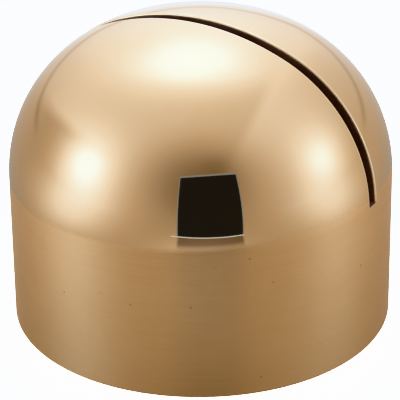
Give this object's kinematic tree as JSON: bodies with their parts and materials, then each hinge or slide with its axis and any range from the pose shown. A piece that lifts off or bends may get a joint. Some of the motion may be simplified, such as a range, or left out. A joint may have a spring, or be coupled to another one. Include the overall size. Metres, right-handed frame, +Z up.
{
  "type": "door stop",
  "caption": "Heavy free-standing brass door stop: a polished dome on a short cylinder, with one narrow slot sawn across the dome and a rubber foot let in underneath.",
  "frame": {"origin": "on the floor, under the centre of the stop", "axes": "+Z up; the slot runs along X through the centre of the dome, so its two walls face +Y and -Y"},
  "size_m": [0.05, 0.05, 0.0415],
  "materials": {
    "polished_brass": "mirror-polished dome, finely lined satin cylinder wall, dark patina inside the slot",
    "cork": "pressed cork sheet",
    "cast_iron": "as cast, faces turned",
    "zinc_plated_steel": "bright zinc plate",
    "rubber": "matt moulded rubber with concentric grip rings"
  },
  "bodies": {
    "root": {"body": "polished_brass", "weight_pad": "cork", "weight": "cast_iron", "weight_bolt": "zinc_plated_steel", "bolt_washer": "zinc_plated_steel", "bolt_spring_washer": "zinc_plated_steel", "base_plate": "zinc_plated_steel", "base_screw_1": "zinc_plated_steel", "base_screw_2": "zinc_plated_steel", "base_screw_3": "zinc_plated_steel", "foot_pad": "rubber"}
  },
  "joints": []
}
